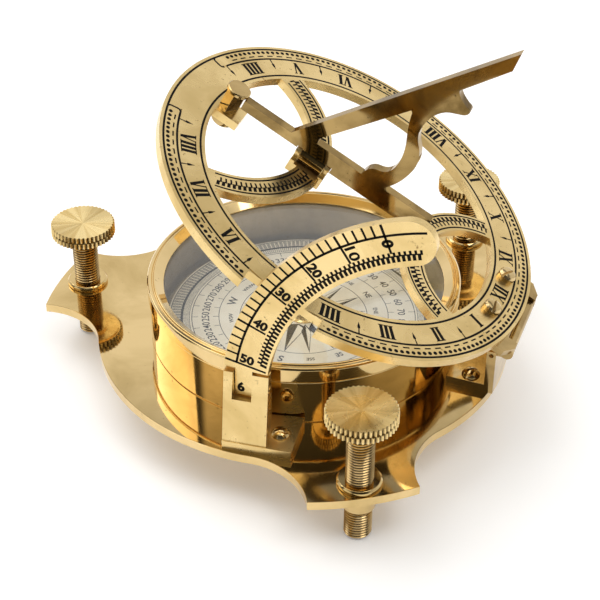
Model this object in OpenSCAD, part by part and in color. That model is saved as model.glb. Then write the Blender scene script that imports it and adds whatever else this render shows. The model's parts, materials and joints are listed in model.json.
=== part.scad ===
// Folding sundial over a compass: three-eared base on levelling screws, glazed compass drum,
// hinged hour ring with a folding gnomon, and a folding latitude arc.
// Millimetres, +Z up. The origin is the middle of the base plate's underside.
// The hour ring hinges on the +X side, and its hinge line runs along Y.

/* [Base plate] */
// thickness of the flat base plate
plate_thick = 2.2; // [1.8:0.1:4]
// how far the long curved edges between the ears reach past the drum
plate_margin = 13.2; // [12.8:0.1:16]
// how far the ears reach past the long curved edges
ear_reach = 14.4; // [13:0.1:18]
// how much further the left ear reaches
left_more = 0.5; // [0:0.1:1]
// how much less the front ear reaches
front_less = 1.1; // [0:0.1:1.2]
// radius of the hollow curve on each side of an ear
scoop_r = 17; // [13:0.5:19]
// angle from the middle of an ear to the middle of its hollow curves
scoop_turn = 25.8; // [24:0.1:28]
// turn of the plate against the ring hinge, as the screws stand in the finished thing
plate_turn = 2.4; // [0:0.1:4]

/* [Levelling screws] */
// distance of the levelling screws from the ends of the ears
screw_inset = 6.6; // [6:0.1:7.2]
// outside diameter of the levelling screw's thread
rod_d = 6.35; // [5:0.05:6.6]
// lead of the levelling screw's thread
rod_pitch = 0.75; // [0.6:0.05:1.5]
// depth of the thread
rod_thread = 0.36; // [0.2:0.02:0.5]
// how far the screw tips stand below the plate's underside
foot_drop = 12.7; // [10:0.1:18]
// diameter of the knurled knob
knob_d = 16; // [14:0.1:16]
// height of the knurled knob
knob_h = 3.5; // [2.6:0.1:4.5]
// height of the left knob's top above the plate
left_top = 18.2; // [16:0.1:22]
// height of the front knob's top above the plate
front_top = 20.7; // [16:0.1:22]
// height of the back knob's top above the plate
back_top = 18.6; // [16:0.1:22]
// height of the plain collar under the knob
knob_collar = 0.6; // [0.4:0.1:1]
// teeth in one row of the knurl
knob_teeth = 44; // [36:1:46]
// diameter of the bush flange on the plate
bush_flange_d = 10.2; // [9.4:0.1:11]
// height of the bush flange
bush_flange_h = 1.3; // [0.8:0.1:2]
// diameter of the bush body under the plate
bush_body_d = 8.2; // [7.8:0.1:8.6]
// length of the bush body under the plate
bush_drop = 4.5; // [4:0.1:8]

/* [Compass] */
// outside radius of the compass drum
case_r = 37.7; // [37:0.1:37.9]
// thickness of the drum's wall
case_wall = 2.5; // [2:0.1:3]
// thickness of the drum's floor
case_floor = 0.9; // [0.8:0.1:1.4]
// height of the drum's outer wall above the plate
case_h = 11.6; // [11:0.1:11.8]
// height of the collar that the bezel fits over
collar_h = 0.9; // [0.7:0.1:1.1]
// how far the bezel stands out past the drum
bezel_out = 0.4; // [0.2:0.1:0.5]
// wall thickness of the bezel's skirt
bezel_skirt = 1.2; // [0.9:0.1:1.4]
// height of the bezel's top above the plate
bezel_top = 15.95; // [15.5:0.05:16]
// width of the bezel's face around the glass
bezel_face = 4; // [3.6:0.1:5]
// thickness of the glass
glass_thick = 1.2; // [1:0.1:1.4]
// gap between the turning card and the drum's wall
card_gap = 1.6; // [1:0.1:3]
// height of the compass card above the plate
card_z = 2.1; // [1.9:0.1:3]
// thickness of the compass card
card_thick = 0.3; // [0.2:0.05:0.5]
// length of the bar magnet under the card
magnet_len = 39; // [30:1:44]
// width of the bar magnet
magnet_w = 3.4; // [3:0.1:5]
// thickness of the bar magnet
magnet_thick = 0.6; // [0.4:0.1:0.8]
// radius of the hole around the pivot in the card and its magnet
pivot_hole = 1.1; // [0.9:0.1:1.4]

/* [Hour ring] */
// how far the hour ring's rim reaches past the drum's radius
ring_over = 10.5; // [9.6:0.1:11]
// width of the hour ring's band
ring_w = 11; // [10:0.1:12]
// thickness of the hour ring
ring_thick = 2.2; // [1.8:0.1:2.4]
// tilt of the hour ring as it stands, from flat
ring_tilt = 27.7; // [5:0.1:80]
// distance of the outer engraved line from the ring's rim
rim_to_out = 1; // [0.7:0.1:1.6]
// distance of the line outside the numerals from the ring's rim
rim_to_mid = 4.25; // [3.5:0.05:5]
// distance of the innermost line from the hole in the ring
hole_to_line = 1.1; // [0.8:0.1:1.6]
// width of the engraved lines
line_w = 0.4; // [0.25:0.05:0.6]
// depth of the engraved lines
line_deep = 0.15; // [0.1:0.01:0.3]
// how far the centres of the curved arms lie outside the hole in the ring
arm_out = 0.6; // [0:0.1:2]
// distance of the far arm's middle from the ring's middle
far_arm_mid = 11.05; // [10:0.05:12]
// width of the far arm
far_arm_w = 5.9; // [5:0.1:6.4]
// distance of the hinge-side arm's middle from the ring's middle
near_arm_mid = 18.2; // [17:0.1:19]
// width of the arm on the hinge side
near_arm_w = 5.4; // [4.6:0.1:6]
// length of the notch that the latitude arc runs through
notch_len = 18.6; // [17:0.1:22]
// depth of the latitude arc's notch, measured from the ring's outside
notch_deep = 4.7; // [4.6:0.1:4.9]

/* [Ring hinge] */
// distance of the ring's hinge line from the drum's wall
hinge_reach = 15.9; // [15.4:0.1:17]
// height of the hinge line above the plate
hinge_z = 13.7; // [13.6:0.1:15]
// gap between the ring's rim and the hinge line
hinge_gap = 1.4; // [1:0.1:2]
// height of the ring's underside over the hinge line
hinge_rise = 2.5; // [2.4:0.1:3.2]
// radius of the hinge knuckles
knuckle_r = 1.5; // [1.4:0.05:1.8]
// diameter of the hinge pin
hinge_pin_d = 1.4; // [1.2:0.1:1.5]
// half of the hinge bracket's width
hinge_half = 9.8; // [9.4:0.1:10.4]
// half of the width of the bracket's middle knuckle
knuckle_half = 8.8; // [8:0.1:9]
// half of the leaf's width, over its two outer knuckles
leaf_half = 14.2; // [13.4:0.1:15]
// thickness of the hinge leaf under the ring
leaf_thick = 1.8; // [1.4:0.1:2]
// thickness of the hinge bracket's upright plate
upright_thick = 2.2; // [1.8:0.1:2.4]
// thickness of the two brackets' feet
foot_thick = 2.2; // [2:0.1:3]

/* [Latitude arc] */
// how much the arc's middle radius is more than the ring's reach from the hinge
arc_shift = 0.9; // [0:0.1:1.4]
// width of the latitude arc
arc_w = 10.2; // [9:0.1:11]
// thickness of the latitude arc
arc_thick = 2; // [1.6:0.1:2.1]
// gap between the arc and the bottom of the ring's notch
arc_gap = 0.7; // [0.5:0.1:0.9]
// height of the arc's lower end above the fold pin
arc_foot = 4.75; // [4.7:0.05:6]
// rise of the middle of the arc's rounded top end
arc_high = 73.4; // [65:0.1:80]
// height of the arc's fold pin above the plate
arc_pin_z = 15.8; // [15:0.1:16]
// diameter of the arc's fold pin
arc_pin_d = 1.6; // [1.2:0.1:2]
// width of the tongue at the foot of the arc
tongue_w = 4.1; // [3.6:0.1:4.6]
// how far the tongue reaches below the fold pin
tongue_drop = 2.2; // [1.8:0.1:2.4]
// how far the tongue reaches above the fold pin, into the arc
tongue_rise = 9.8; // [9.4:0.1:10.4]
// width of the arc's bracket
post_w = 10.2; // [9.6:0.1:10.6]
// height of the arc's bracket above the plate
post_h = 19.9; // [19:0.1:19.9]
// how far the bracket's face stands before the fold pin at its top
post_face = 1.6; // [1.4:0.1:1.7]
// how much further the face comes forward at the plate
post_lean = 2.9; // [2:0.1:3]
// turn of the bracket on the plate
post_turn = 6; // [4:0.5:6]
// length of the bracket's foot, past the post towards the hinge
foot_reach = 5.8; // [5.4:0.1:6]

/* [Gnomon] */
// thickness of the gnomon plate
gnomon_thick = 2.4; // [2:0.1:2.5]
// height of the gnomon's fold line over the ring's face
fold_rise = 1.6; // [1.5:0.05:1.8]
// length of the style's upper edge
style_len = 58.7; // [50:0.1:60]
// slope of the style over the ring's face
style_slope = 57.2; // [52:0.1:60]
// width of the style at its root
style_w = 4.4; // [4:0.1:5.2]
// width of the style at its tip
tip_w = 2.9; // [1.5:0.1:3.4]
// place of the style's root from the ring's middle, towards the post
style_root = 19.5; // [19:0.1:21]
// height of the lower edge of the gnomon's bar over the ring's face
bar_low = 1.8; // [1.6:0.1:2]
// height of the upper edge of the gnomon's bar over the ring's face
bar_high = 6.7; // [6.2:0.1:7]
// length of the gnomon's knuckle
fold_len = 6.2; // [5.4:0.1:6.6]
// distance of the hexagonal post from the edge of the ring's hole
post_inset = 2.4; // [2:0.1:3]
// width of the six-sided post across its flats
post_flats = 4.4; // [4:0.1:4.6]
// height of the post's head over the ring's face
post_neck = 5.5; // [5.4:0.1:6]
// diameter of the post's round head
post_head_d = 5.7; // [5.2:0.1:6]

/* [Fits] */
// gap between a turning pin or rod and its bore
run_gap = 0.04; // [0.02:0.01:0.06]
// gap between a pressed or clamped piece and its seat
seat_gap = 0.03; // [0.02:0.01:0.05]
// gap between moving flat faces
side_gap = 0.15; // [0.1:0.05:0.2]
// diameter of the small screws' shanks
shank_d = 2.2; // [1.8:0.1:2.4]
// diameter of the bracket screws' round heads
round_head_d = 4.4; // [3.8:0.1:4.6]
// diameter of the ring screws' flat heads
ring_head_d = 4.3; // [3.8:0.1:4.6]

/* [Hidden] */
brass = [0.83, 0.66, 0.33];
brass_dark = [0.70, 0.53, 0.24];
paper = [0.86, 0.83, 0.74];
steel = [0.55, 0.55, 0.56];
clear = [0.8, 0.9, 0.9, 0.35];
black = [0.1, 0.1, 0.1];
top = plate_thick;
plate_r = case_r + plate_margin;
ear_r = plate_r + ear_reach;
screw_circle = ear_r - screw_inset;
ring_r = case_r + ring_over;
ring_in = ring_r - ring_w;
line_out = ring_r - rim_to_out;
line_mid = ring_r - rim_to_mid;
line_in = ring_in + hole_to_line;
arm_off = ring_in + arm_out;
far_arm_r = arm_off - far_arm_mid;
near_arm_r = arm_off - near_arm_mid;
hinge_x = case_r + hinge_reach;
scoop_bite = 0.05;
ear_half = plate_r * sin(scoop_turn - 0.3);
screw_az = [180 + plate_turn, 300 + plate_turn, 60 + plate_turn];
shank_hole = shank_d + 2 * seat_gap;
bush_bore = rod_d + 2 * run_gap;
knob_tops = [left_top, front_top, back_top];
spigot_d = rod_d - 2 * rod_thread - 1;
bezel_r = case_r + bezel_out;
collar_r = bezel_r - bezel_skirt - seat_gap;
case_in = case_r - case_wall;
case_top = case_h + collar_h;
card_r = case_in - card_gap;
bezel_window = bezel_r - bezel_face;
gasket_h = 0.4;
glass_z = case_top + gasket_h;
lip_z = glass_z + glass_thick;
bezel_low = case_h + 0.1;
ring_off = ring_r + hinge_gap;
hinge_drop = ring_thick + hinge_rise;
notch_y = ring_r - notch_deep;
arc_y = notch_y + arc_gap + arc_thick / 2;
arc_mid = ring_off + arc_shift;
arc_in = arc_mid - arc_w / 2;
arc_out = arc_mid + arc_w / 2;
tongue_x = hinge_x - arc_mid;
post_left = 0.6 - post_w / 2;
post_back = arc_y - 1.3;
post_screws = [[tongue_x + 7.5, -(arc_y - 1.9)], [tongue_x + 0.6, -(case_r + 3.4)]];
hinge_screws = [[hinge_x - 8.7, -7.1], [hinge_x - 8.7, 7.1]];
ring_screw_x = ring_r - 7.3;
ring_screw_y = 6.8;
foot_x0 = case_r + 1.8;
upright_x1 = hinge_x - knuckle_r - 1.15;
upright_h = hinge_z - knuckle_r - side_gap;
fold_mid = -far_arm_mid - 0.9;
knuckle2_r = fold_rise + 0.3;
lug_thick = 1.2;
lug_len = fold_len / 2 + side_gap;
gnomon_pin_d = 1.4;
post_x = ring_in - post_inset;
tail_end = post_x - post_flats / 2 - 0.35;

function polar(r, a) = [r * cos(a), r * sin(a)];

// flat outline of the three-eared plate
module plate_shape() {
  rotate(plate_turn) {
    circle(plate_r, $fn = 180);
    for (i = [0:2]) rotate(180 + 120 * i) difference() {
      intersection() {
        circle([ear_r + left_more, ear_r - front_less, ear_r][i], $fn = 180);
        translate([0, -ear_half]) square([ear_r + 2, 2 * ear_half]);
      }
      for (s = [-1, 1]) rotate(s * scoop_turn) translate([plate_r + scoop_r - scoop_bite, 0])
        circle(scoop_r, $fn = 96);
    }
  }
}

module at_screws() {
  for (a = screw_az) translate([screw_circle * cos(a), screw_circle * sin(a), 0]) children();
}

module at_case_screws() {
  for (i = [0:2]) rotate(plate_turn + 120 * i + 30) translate([case_in - 7, 0, 0]) children();
}

module base_plate() color(brass) difference() {
  linear_extrude(plate_thick) plate_shape();
  at_screws() translate([0, 0, -1]) cylinder(d = bush_body_d, h = plate_thick + 2, $fn = 48);
  for (p = concat(post_screws, hinge_screws))
    translate([p[0], p[1], -1]) cylinder(d = shank_hole, h = plate_thick + 2, $fn = 32);
  at_case_screws() {
    translate([0, 0, -1]) cylinder(d = shank_hole, h = plate_thick + 2, $fn = 32);
    translate([0, 0, -0.01]) cylinder(d1 = 2 * shank_d, d2 = shank_hole, h = 1, $fn = 32);
  }
}

// threaded bush with its flange on the plate and its body under it
module bush() {
  bw = bush_body_d / 2 - seat_gap;
  difference() {
    rotate_extrude($fn = 64) polygon([
      [0, -bush_drop], [bw - 0.7, -bush_drop], [bw - 0.2, -bush_drop + 0.5], [bw, -bush_drop + 3],
      [bw, 0], [bw, top], [bush_flange_d / 2 - 0.25, top],
      [bush_flange_d / 2, top + 0.25], [bush_flange_d / 2, top + bush_flange_h - 0.4],
      [bush_flange_d / 2 - 0.4, top + bush_flange_h], [0, top + bush_flange_h]]);
    translate([0, 0, -bush_drop - 1]) cylinder(d = bush_bore, h = bush_drop + top + 5, $fn = 48);
  }
}

module screw_bushes() color(brass) at_screws() bush();

// levelling screw: chamfered tip, thread ridges one lead apart, plain neck and spigot for the knob
module rod(knob_top) {
  r = rod_d / 2;
  m = r - rod_thread;
  z0 = -foot_drop;
  z2 = top + knob_top - knob_h - knob_collar - seat_gap;
  z1 = z2 - 1.6;
  n = floor((z1 - z0 - 1.2) / rod_pitch);
  ridges = [for (i = [0:n - 1], k = [0:3])
    [[m, r, r, m][k], z0 + 1.2 + rod_pitch * (i + [0.1, 0.42, 0.58, 0.9][k])]];
  rotate_extrude($fn = 48) polygon(concat(
    [[0, z0], [m - 0.5, z0], [m, z0 + 0.6]],
    ridges,
    [[m, z1], [m + 0.1, z1], [m + 0.1, z2], [spigot_d / 2, z2], [spigot_d / 2, top + knob_top - 1],
     [0, top + knob_top - 1]]));
}

module rod_left() color(brass) translate(concat(polar(screw_circle, screw_az[0]), 0)) rod(left_top);
module rod_front() color(brass) translate(concat(polar(screw_circle, screw_az[1]), 0)) rod(front_top);
module rod_back() color(brass) translate(concat(polar(screw_circle, screw_az[2]), 0)) rod(back_top);

// one row of knurl teeth, cut as v grooves around a disc
module knurl(turn, h) {
  rotate(turn) linear_extrude(h) difference() {
    circle(d = knob_d, $fn = 120);
    for (i = [0:knob_teeth - 1]) rotate(i * 360 / knob_teeth) translate([knob_d / 2, 0])
      rotate(45) square(0.76, center = true);
  }
}

module knob() {
  row = (knob_h - 0.55) / 2;
  core = knob_d / 2 - 0.65;
  difference() {
    union() {
      rotate_extrude($fn = 96) polygon([
        [0, -knob_collar], [rod_d / 2 + 0.7, -knob_collar], [rod_d / 2 + 1.1, 0], [core - 0.45, 0],
        [core, 0.3], [core, knob_h - 0.1], [0, knob_h - 0.1]]);
      translate([0, 0, 0.3]) knurl(0, row);
      translate([0, 0, 0.55 + row]) knurl(180 / knob_teeth, row);
    }
    translate([0, 0, -2]) cylinder(d = spigot_d + 2 * run_gap, h = knob_h + 1.2, $fn = 48);
    translate([0, 0, knob_h - 0.3]) cylinder(r1 = 0, r2 = core, h = 0.31, $fn = 96);
  }
}

module knob_at(i) translate(concat(polar(screw_circle, screw_az[i]), top + knob_tops[i] - knob_h)) knob();
module knob_left() color(brass) knob_at(0);
module knob_front() color(brass) knob_at(1);
module knob_back() color(brass) knob_at(2);

// drum with its floor and a collar that the bezel fits over
module compass_case() color(brass) difference() {
  translate([0, 0, top]) rotate_extrude($fn = 180) polygon([
    [0, 0], [case_r - 0.2, 0], [case_r, 0.2], [case_r, case_h - 0.15], [case_r - 0.15, case_h],
    [collar_r, case_h], [collar_r, case_top], [case_in, case_top], [case_in, case_floor],
    [0, case_floor]]);
  at_case_screws() translate([0, 0, top - 1]) cylinder(d = shank_hole, h = case_floor + 2, $fn = 32);
}

// three countersunk screws that hold the drum from under the plate
module case_screws() color(brass_dark) at_case_screws() difference() {
  union() {
    cylinder(d1 = 2 * shank_d - 0.1, d2 = shank_d, h = 0.95, $fn = 32);
    cylinder(d = shank_d, h = top + case_floor, $fn = 32);
  }
  translate([0, 0, -0.01]) linear_extrude(0.5) square([0.5, 3 * shank_d], center = true);
}

// turned foot with a needle point under the card's cap
module pivot_pin() color(brass) translate([0, 0, top + case_floor]) rotate_extrude($fn = 48) polygon([
  [0, 0], [2, 0], [2, 0.25], [0.6, 0.35], [0.6, card_z - case_floor - 0.2],
  [0.5, card_z - case_floor + 0.5], [0, card_z - case_floor + 1.3]]);

// bar magnet glued under the card, with a hole around the pivot
module card_magnet() color(steel) translate([0, 0, top + card_z - magnet_thick])
  linear_extrude(magnet_thick) difference() {
    intersection() {
      square([magnet_len + 1, magnet_w], center = true);
      circle(d = magnet_len, $fn = 96);
    }
    circle(pivot_hole, $fn = 48);
  }

module compass_card() color(paper) translate([0, 0, top + card_z]) linear_extrude(card_thick) difference() {
  circle(card_r, $fn = 180);
  circle(pivot_hole, $fn = 48);
}

// turned cap in the middle of the card, hollow where the pivot stands
module card_cap() color(brass) translate([0, 0, top + card_z + card_thick])
  rotate_extrude($fn = 48) polygon([[pivot_hole, 0], [3.9, 0], [3.9, 0.35], [3.2, 0.5],
    [3, 1.3], [2.4, 2.2], [1.3, 2.8], [0, 3], [0, 1.1], [0.5, 0.6], [pivot_hole - 0.1, 0.5]]);

module glass_gasket() color(black) translate([0, 0, top + case_top]) rotate_extrude($fn = 180)
  polygon([[case_in + 0.2, 0], [collar_r - 0.1, 0], [collar_r - 0.1, gasket_h], [case_in + 0.2, gasket_h]]);

module glass() color(clear) translate([0, 0, top + glass_z])
  cylinder(r = collar_r - 0.2, h = glass_thick, $fn = 180);

// bezel: plain outer band, thin groove, then a slope down to the glass
module bezel() color(brass) translate([0, 0, top]) rotate_extrude($fn = 180) polygon([
  [collar_r + seat_gap, bezel_low], [bezel_r - 0.25, bezel_low], [bezel_r, bezel_low + 0.25],
  [bezel_r, bezel_top - 0.65], [bezel_r - 0.35, bezel_top - 0.25], [bezel_r - 1, bezel_top - 0.15],
  [bezel_r - 1.2, bezel_top - 0.5], [bezel_r - 1.45, bezel_top - 0.5], [bezel_r - 1.65, bezel_top - 0.05],
  [bezel_r - 2, bezel_top], [bezel_window, lip_z + 0.25], [bezel_window, lip_z],
  [collar_r + seat_gap, lip_z]]);

// carries the arc's bracket: origin under the fold pin on the plate, turned a little
module on_post() translate([tongue_x, -arc_y, top]) rotate(post_turn) children();

// bracket beside the drum: slotted post that leans to the drum, and a screwed foot
module latitude_bracket() color(brass) difference() {
  union() {
    difference() {
      on_post() translate([post_left, 0, 0]) rotate([90, 0, 90]) linear_extrude(post_w)
        polygon([[-post_face - post_lean, 0], [-post_face, post_h], [3, post_h], [3, 12.5],
          [-post_face, foot_thick], [-post_face, 0]]);
      translate([tongue_x - post_w, -post_back, top]) cube([2 * post_w, post_w, post_h + 1]);
    }
    on_post() translate([post_left, -post_face - post_lean, 0])
      cube([post_w + foot_reach, arc_y - case_r + post_face + post_lean + 0.4, foot_thick]);
  }
  translate([0, 0, top - 1]) cylinder(r = case_r + 0.4, h = post_h, $fn = 180);
  translate([tongue_x - tongue_w / 2 - side_gap, -post_back - 8, top + arc_pin_z - tongue_drop - 0.5])
    cube([tongue_w + 2 * side_gap, 9, post_h]);
  translate([tongue_x - post_w, -arc_y, top + arc_pin_z]) rotate([0, 90, 0])
    cylinder(d = arc_pin_d + 2 * seat_gap, h = 2 * post_w, $fn = 32);
  for (p = post_screws) translate([p[0], p[1], top - 1])
    cylinder(d = shank_hole, h = foot_thick + 2, $fn = 32);
}

module latitude_pin() color(brass_dark) translate([tongue_x + post_left - 0.2, -arc_y, top + arc_pin_z])
  rotate([0, 90, 0]) cylinder(d = arc_pin_d, h = post_w + 0.4, $fn = 32);

// outline of the arc, with the hinge line at its origin
module arc_shape() {
  reach = 2 * arc_out;
  low = arc_pin_z - hinge_z + arc_foot;
  intersection() {
    difference() {
      circle(arc_out, $fn = 240);
      circle(arc_in, $fn = 240);
    }
    polygon([[0, 0], [-arc_in / 2, low], [-reach, low], polar(reach, 180 - arc_high / 2),
      polar(reach, 180 - arc_high)]);
  }
  translate(polar(arc_mid, 180 - arc_high)) circle(d = arc_w, $fn = 64);
  translate([tongue_x - hinge_x - tongue_w / 2, arc_pin_z - hinge_z - tongue_drop])
    square([tongue_w, tongue_drop + tongue_rise]);
}

module latitude_arc() color(brass) difference() {
  translate([hinge_x, -arc_y + arc_thick / 2, top + hinge_z]) rotate([90, 0, 0])
    linear_extrude(arc_thick) arc_shape();
  translate([tongue_x - tongue_w, -arc_y, top + arc_pin_z]) rotate([0, 90, 0])
    cylinder(d = arc_pin_d + 2 * run_gap, h = 2 * tongue_w, $fn = 32);
}

// bracket for the ring hinge: screwed foot, upright plate and middle knuckle
module hinge_bracket() color(brass) difference() {
  union() {
    translate([foot_x0, -hinge_half, top]) cube([upright_x1 - foot_x0, 2 * hinge_half, foot_thick]);
    translate([upright_x1 - upright_thick, -hinge_half, top])
      cube([upright_thick, 2 * hinge_half, upright_h]);
    translate([upright_x1 - upright_thick, -knuckle_half, top + upright_h - knuckle_r])
      cube([hinge_x - upright_x1 + upright_thick, 2 * knuckle_half, 2 * knuckle_r + side_gap]);
    translate([hinge_x, 0, top + hinge_z]) rotate([90, 0, 0])
      cylinder(r = knuckle_r, h = 2 * knuckle_half, center = true, $fn = 64);
  }
  translate([hinge_x, 0, top + hinge_z]) rotate([90, 0, 0])
    cylinder(d = hinge_pin_d + 2 * seat_gap, h = 4 * hinge_half, center = true, $fn = 48);
  for (s = [-1, 1]) translate([upright_x1 - upright_thick / 2, s * hinge_half, top + upright_h - 1.1])
    rotate([90, 0, 0]) cylinder(d = 1.1, h = 1.6, center = true, $fn = 32);
  for (p = hinge_screws) translate([p[0], p[1], top - 1])
    cylinder(d = shank_hole, h = foot_thick + 2, $fn = 32);
}

// round-headed slotted screw, its head resting at z = 0
module round_screw(len) difference() {
  union() {
    rotate_extrude($fn = 48) intersection() {
      translate([0, -0.9]) circle(d = round_head_d * 1.12, $fn = 64);
      square([round_head_d / 2, round_head_d]);
    }
    translate([0, 0, -len]) cylinder(d = shank_d, h = len + 0.5, $fn = 32);
  }
  translate([0, 0, 0.75]) rotate(35) translate([-round_head_d, -0.3, 0]) cube([2 * round_head_d, 0.6, 2]);
}

module bracket_screws() color(brass_dark) for (p = concat(post_screws, hinge_screws))
  translate([p[0], p[1], top + foot_thick]) round_screw(foot_thick + top);

module hinge_pin() color(brass_dark) translate([hinge_x, 0, top + hinge_z]) rotate([90, 0, 0])
  cylinder(d = hinge_pin_d, h = 2 * knuckle_half + 3.7, center = true, $fn = 48);

// carries what belongs to the ring: origin in the middle of its upper face, +X to the hinge
module on_ring() {
  translate([hinge_x, 0, top + hinge_z]) rotate([0, ring_tilt, 0])
    translate([-ring_off, 0, hinge_drop]) children();
}

// leaf under the ring, with a knuckle at each end beside the bracket's own
module hinge_leaf() color(brass) on_ring() difference() {
  union() {
    translate([0, 0, -ring_thick - leaf_thick]) linear_extrude(leaf_thick) polygon([
      [ring_in + 0.6, -leaf_half], [ring_off - 1.4, -leaf_half], [ring_off + 0.7, -leaf_half + 3],
      [ring_off + 0.7, leaf_half - 3], [ring_off - 1.4, leaf_half], [ring_in + 0.6, leaf_half]]);
    translate([ring_off, 0, -hinge_drop]) rotate([90, 0, 0])
      cylinder(r = knuckle_r, h = 2 * leaf_half - 5.6, center = true, $fn = 64);
  }
  translate([ring_off - knuckle_r - 0.4, -knuckle_half - side_gap, -hinge_drop - 2 * knuckle_r])
    cube([3 * knuckle_r + 1, 2 * (knuckle_half + side_gap), 4 * knuckle_r + 1]);
  translate([ring_off, 0, -hinge_drop]) rotate([90, 0, 0])
    cylinder(d = hinge_pin_d + 2 * run_gap, h = 2 * knuckle_half + 4, center = true, $fn = 48);
  ring_screw_holes();
}

module ring_screw_holes() {
  for (s = [-1, 1]) translate([ring_screw_x, s * ring_screw_y, -ring_thick - leaf_thick - 1])
    cylinder(d = shank_hole, h = ring_thick + leaf_thick + 2, $fn = 32);
}

module ring_screws() color(brass_dark) on_ring() for (s = [-1, 1])
  translate([ring_screw_x, s * ring_screw_y, 0]) difference() {
    union() {
      rotate_extrude($fn = 48) polygon([[0, 0], [ring_head_d / 2, 0], [ring_head_d / 2, 1.1],
        [ring_head_d / 2 - 0.4, 1.65], [ring_head_d / 4, 1.87], [0, 1.9]]);
      translate([0, 0, -ring_thick - leaf_thick])
        cylinder(d = shank_d, h = ring_thick + leaf_thick + 0.5, $fn = 32);
    }
    translate([0, 0, 1]) rotate(s < 0 ? 100 : 60) translate([-ring_head_d, -0.3, 0])
      cube([2 * ring_head_d, 0.6, 2]);
  }

module ring_shape() {
  difference() {
    union() {
      difference() {
        circle(ring_r, $fn = 240);
        circle(ring_in, $fn = 240);
      }
      intersection() {
        circle(ring_in + 0.5, $fn = 240);
        union() {
          arm(-arm_off, far_arm_r, far_arm_w);
          arm(arm_off, near_arm_r, near_arm_w);
        }
      }
      translate([-ring_in - 1, -3]) square([ring_in + 1 - post_x + 4.1, 6]);
    }
    translate([-notch_len / 2, -ring_r - 1]) square([notch_len, ring_r + 1 - notch_y]);
    translate([-post_x, 0]) circle(d = shank_hole, $fn = 32);
  }
}

module arm(x, r, w) translate([x, 0]) difference() {
  circle(r + w / 2, $fn = 180);
  circle(r - w / 2, $fn = 180);
}

module engraved(r) translate([0, 0, -line_deep]) linear_extrude(1) difference() {
  circle(r + line_w / 2, $fn = 240);
  circle(r - line_w / 2, $fn = 240);
}

// one lug of the gnomon's cradle, seen along the fold line
module lug_shape() {
  translate([-2.8, -ring_thick - 0.8]) square([5.6, ring_thick + 1]);
  translate([-1.45, -1]) square([2.9, fold_rise + 1]);
  translate([0, fold_rise]) circle(1.45, $fn = 48);
}

module hour_ring() color(brass) on_ring() difference() {
  union() {
    difference() {
      translate([0, 0, -ring_thick]) linear_extrude(ring_thick) ring_shape();
      engraved(line_out);
      engraved(line_in);
      difference() {
        engraved(line_mid);
        translate([0, 0, -1]) linear_extrude(3) polygon([[0, 0], polar(2 * ring_r, 163.2),
          polar(2 * ring_r, 178), polar(2 * ring_r, 193.6)]);
      }
    }
    translate([fold_mid - lug_len - lug_thick, -2.8, -ring_thick - 0.8])
      cube([2 * (lug_len + lug_thick), 5.6, ring_thick + 0.3]);
    for (s = [-1, 1]) translate([fold_mid + s * (lug_len + lug_thick / 2) - lug_thick / 2, 0, 0])
      rotate([90, 0, 90]) linear_extrude(lug_thick) lug_shape();
  }
  translate([fold_mid - lug_len, -2.3, fold_rise - knuckle2_r - 0.2]) cube([2 * lug_len, 4.6, 8]);
  translate([fold_mid, 0, fold_rise]) rotate([0, 90, 0])
    cylinder(d = gnomon_pin_d + 2 * seat_gap, h = 4 * lug_len, center = true, $fn = 32);
  ring_screw_holes();
}

// six-sided post with a round head, screwed through the ring's tab
module gnomon_post() color(brass) on_ring() translate([-post_x, 0, 0]) {
  translate([0, 0, -ring_thick - 1.9]) cylinder(d = shank_d, h = ring_thick + 2.5, $fn = 32);
  cylinder(d = post_flats * 1.04, h = 0.5, $fn = 48);
  translate([0, 0, 0.4]) rotate(30) cylinder(d = post_flats / cos(30), h = post_neck - 0.3, $fn = 6);
  translate([0, 0, post_neck]) rotate_extrude($fn = 64) polygon([[0, 0], [post_head_d / 2 - 0.2, 0],
    [post_head_d / 2, 0.2], [post_head_d / 2, 0.8], [post_head_d / 2 - 0.25, 1.05], [0, 1.15]]);
}

module post_nut() color(brass) on_ring() translate([-post_x, 0, -ring_thick - 1.6]) difference() {
  rotate_extrude($fn = 64) polygon([[0, 0], [2.5, 0], [2.8, 0.35], [2.8, 1.6], [0, 1.6]]);
  translate([0, 0, -1]) cylinder(d = shank_hole, h = 4, $fn = 32);
}

module gnomon_pin() color(brass_dark) on_ring() translate([fold_mid, 0, fold_rise]) rotate([0, 90, 0])
  cylinder(d = gnomon_pin_d, h = 2 * (lug_len + lug_thick) + 0.3, center = true, $fn = 32);

// points of a curve that leaves a towards b and comes to c from b
function bend(a, b, c, n = 8) = [for (i = [0:n]) let (t = i / n)
  a * (1 - t) * (1 - t) + b * 2 * t * (1 - t) + c * t * t];

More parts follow.
